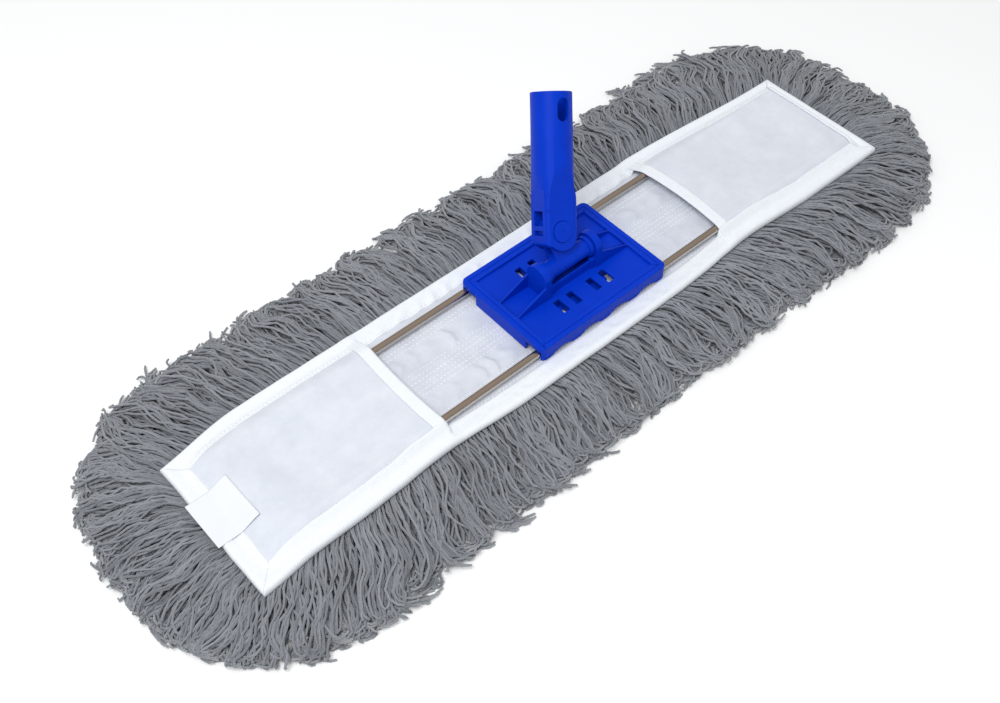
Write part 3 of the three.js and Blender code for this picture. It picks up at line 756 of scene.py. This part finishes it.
def outline_point(side, share):
    """A point on the fringe's outer edge, a rectangle with round corners. Each side owns the
    stretch between the middles of its two corners, and share runs along it from 0 to 1."""
    toward = 2 * share - 1
    side_x, side_y = SIDES[side]
    if side_y:
        neighbour = "right" if toward > 0 else "left"
    else:
        neighbour = "back" if toward > 0 else "front"
    straight = FRINGE_REACH[neighbour] - FRINGE_CORNER
    travelled = abs(toward) * (straight + FRINGE_CORNER * math.pi / 4)
    bend = max(0.0, travelled - straight) / FRINGE_CORNER
    along = min(travelled, straight) + FRINGE_CORNER * math.sin(bend)
    along = math.copysign(along, toward)
    outward = FRINGE_REACH[side] - FRINGE_CORNER * (1 - math.cos(bend))
    if side_y:
        return Vector((along, side_y * outward, 0))
    return Vector((side_x * outward, along, 0))


def swirl(place, layer, size):
    """How far the yarn here is pushed sideways by its neighbours, from -1 to 1. Yarns of one
    layer that lie close together are pushed alike."""
    return 2 * noise.noise(Vector((place.x / size, place.y / size, 2.3 * layer)))


def fringe_route(side, share, layer, draw):
    """One yarn's route from under the tape to the floor. layer is 0 for the lowest yarns
    and 1 for the ones on top; draw is the random source."""
    side_x, side_y = SIDES[side]
    if side_y:
        run = 2 * (edge_x - ROOT_INSET)
        x = run * (share - 0.5)
        root = Vector((x, side_y * (cover_edge(side_y, x) - ROOT_INSET), 0))
    else:
        x = side_x * (edge_x - ROOT_INSET)
        low, high = ROOT_INSET - cover_edge(-1, x), cover_edge(1, x) - ROOT_INSET
        run = high - low
        root = Vector((x, lerp(low, high, share), 0))
    seed = 7 * side_x + 13 * side_y
    lock_count = round(run * (1.1 if side_y else 2) / LOCK_WIDTH)
    lock = (math.floor(share * lock_count + 0.35 * layer) + 0.5 - 0.35 * layer) / lock_count
    lock_noise = noise.noise(Vector((lock * lock_count * 1.7, seed, 2 * layer)))
    pull = 0.62 + 0.5 * lock_noise
    tip_share = min(1.0, max(0.0, lerp(share, lock, pull)))
    tip = outline_point(side, tip_share)
    off_lock = min(1.0, 2 * abs(share - lock) * lock_count)
    reach = 1.11 + 0.14 * lock_noise - 0.05 * draw.random() ** 2 - 0.09 * off_lock ** 2
    reach -= 0.35 * draw.random() if draw.random() < 0.12 else 0.0
    span = (tip - root) * reach
    across = Vector((-span.y, span.x, 0)).normalized()
    apart = Vector((draw.uniform(-9, 9), draw.uniform(-9, 9), 0)) * MM
    stray = draw.uniform(-8, 8) if draw.random() < 0.12 else 0.0
    bow = 5.0 * draw.uniform(-1, 1)
    crimp = draw.uniform(0.6, 2.0)
    turns = draw.uniform(1.8, 3.4)
    phase = draw.uniform(0, 2 * math.pi)
    curl = draw.choice((0.6, 1, -1, 1.7, -1.7)) * draw.uniform(2.5, 6.0)
    hook = draw.uniform(10.0, 20.0) * MM
    start = lerp(ROOT_LOW, ROOT_HIGH, layer)
    crest = (lerp(3.0, 17.0, layer) + 5 * lock_noise * layer) * MM
    floor = (1.0 + 4.5 * layer * draw.random() + 3.0 * layer) * MM
    route = []
    for i in range(YARN_STEPS + 1):
        t = 1 - (1 - i / YARN_STEPS) ** 1.2
        place = root + span * t
        sideways = 10.5 * swirl(place, layer, 34 * MM) * t ** 1.2
        sideways += 3.0 * swirl(place + apart, layer + 3, 16 * MM) * min(1.0, 2.2 * t)
        sideways += bow * math.sin(math.pi * t) + stray * t ** 1.6
        sideways += crimp * math.sin(turns * 2 * math.pi * t + phase) * min(1.0, 2 * t)
        end_part = max(0.0, t - 0.78) / 0.22
        sideways += curl * end_part ** 1.4
        place -= span.normalized() * hook * end_part ** 2
        z = lerp(start, crest, ease(0.0, 0.24, t))
        z = lerp(z, floor, ease(0.32, 1.0, t) ** 1.2)
        z += 2.2 * MM * layer * swirl(place + apart, layer + 6, 16 * MM) * (1 - t) * min(1.0, 3 * t)
        place += across * sideways * MM
        place.z = max(z, YARN_RADIUS * 1.05)
        thickness = 1.0 if i < YARN_STEPS else 0.8
        route.append((place, thickness * lerp(0.88, 1.12, draw.random())))
    return route


for side, (side_x, side_y) in SIDES.items():
    per_layer = YARNS_PER_LAYER[side]
    fringe_random = random.Random(29 + 3 * side_x + 5 * side_y)
    banks = {"under": [], "over": []}
    for layer in range(FRINGE_LAYERS):
        bank = banks["over" if layer >= FRINGE_LAYERS / 2 else "under"]
        for step in range(per_layer):
            share = (step + fringe_random.uniform(0.1, 0.9)) / per_layer
            bank.append(fringe_route(side, share, layer / (FRINGE_LAYERS - 1), fringe_random))
    for bank, routes in banks.items():
        fringe = lay_yarns("fringe_" + bank + "_" + side, routes)
        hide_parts("fringe_" + side)

# ---- Swivel head
# Four injection mouldings in cobalt blue polypropylene: the plate, the barrel that turns
# between its saddles, the handle socket and the pin that joins them. Polypropylene leaves a
# steel mould with a satin skin, rounded edges and a faint mottle where the melt flowed.
MOULD_EDGE = 0.35 * MM
plastic = new_material("moulded blue polypropylene")
plastic_place = add_node(plastic, "TexCoord").outputs["Object"]
flow = add_node(plastic, "TexNoise", {"Vector": plastic_place, "Scale": 28, "Detail": 3,
                                      "Distortion": 0.8})
plastic_paint = add_node(plastic, "MixRGB", {"Fac": flow.outputs["Fac"],
                                             "Color1": srgb(0x002FB3),
                                             "Color2": srgb(0x003AC9)})
spark = add_node(plastic, "TexNoise", {"Vector": plastic_place, "Scale": 1800, "Detail": 2})
skin = add_node(plastic, "MapRange", {0: flow.outputs["Fac"], 3: 0.34, 4: 0.48})
plastic_bump = add_node(plastic, "Bump", {"Height": spark.outputs["Fac"], "Strength": 0.12,
                                          "Distance": 0.08 * MM})
plastic_shader = add_node(plastic, "BsdfPrincipled", {
    "Base Color": plastic_paint.outputs[0], "Roughness": skin.outputs[0],
    "Normal": plastic_bump.outputs[0], "IOR": 1.49, "Specular IOR Level": 0.1,
})
finish_material(plastic, plastic_shader)


def moulding(name, node, body):
    """The design's solid with its facets welded into whole faces, its sharp edges rounded
    and its curved walls smooth."""
    piece = bpy.data.objects.new(name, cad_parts[node].data.copy())
    bpy.context.collection.objects.link(piece)
    alone(piece)
    if piece.data.has_custom_normals:
        bpy.ops.mesh.customdata_custom_splitnormals_clear()
    bpy.ops.object.mode_set(mode="EDIT")
    bpy.ops.mesh.select_all(action="SELECT")
    bpy.ops.mesh.remove_doubles(threshold=0.01 * MM)
    bpy.ops.object.mode_set(mode="OBJECT")
    apply_modifier(piece, "BEVEL", width=MOULD_EDGE, segments=2, limit_method="ANGLE",
                   angle_limit=math.radians(32), use_clamp_overlap=False,
                   miter_outer="MITER_ARC")
    bpy.ops.object.shade_smooth_by_angle(angle=math.radians(40))
    apply_modifier(piece, "WEIGHTED_NORMAL", keep_sharp=True)
    piece.data.materials.clear()
    piece.data.materials.append(plastic)
    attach(piece, body)
    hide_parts(node)
    return piece


moulding("plate_moulding", "base_plate", "mop")
moulding("barrel_moulding", "swivel_barrel", "swivel")
moulding("socket_moulding", "handle_socket", "socket")
moulding("pin_moulding", "pivot_pin", "socket")

# ---- Floor and light
# A plain pale studio floor that runs on far past the mop, lit from all round by a bright
# sky, with one large soft lamp overhead and to the left.
bpy.ops.mesh.primitive_plane_add(size=40, location=(0, 0, 0))
floor = bpy.context.object
floor.name = "studio_floor"
# Matt paper takes a soft shadow and throws light back under the yarn, with no shine.
paper = new_material("matt white studio paper")
grain = add_node(paper, "TexNoise", {"Vector": add_node(paper, "TexCoord").outputs["Object"],
                                     "Scale": 400, "Detail": 3})
paper_bump = add_node(paper, "Bump", {"Height": grain.outputs["Fac"], "Strength": 0.05,
                                      "Distance": 0.1 * MM})
paper_shader = add_node(paper, "BsdfPrincipled", {
    "Base Color": srgb(0xFAFAFA), "Roughness": 0.95, "Normal": paper_bump.outputs[0],
})
finish_material(paper, paper_shader)
floor.data.materials.append(paper)

sky = bpy.data.worlds.new("studio_sky")
sky.use_nodes = True
sky.node_tree.nodes["Background"].inputs["Color"].default_value = srgb(0xFDFEFF)
overhead = add_node(sky, "SeparateXYZ", {0: add_node(sky, "TexCoord").outputs["Generated"]})
soft_box = add_node(sky, "MapRange", {0: overhead.outputs["Z"], 3: 0.42, 4: 0.76})
sky.node_tree.links.new(soft_box.outputs[0],
                        sky.node_tree.nodes["Background"].inputs["Strength"])
bpy.context.scene.world = sky
bpy.ops.object.light_add(type="AREA", location=(-0.8, -0.3, 1.75))
lamp = bpy.context.object
lamp.data.shape = "DISK"
lamp.data.size = 1.1
lamp.data.energy = 22
lamp.rotation_euler = (-lamp.location).to_track_quat("-Z", "Y").to_euler()
bpy.context.scene.view_settings.view_transform = "Standard"
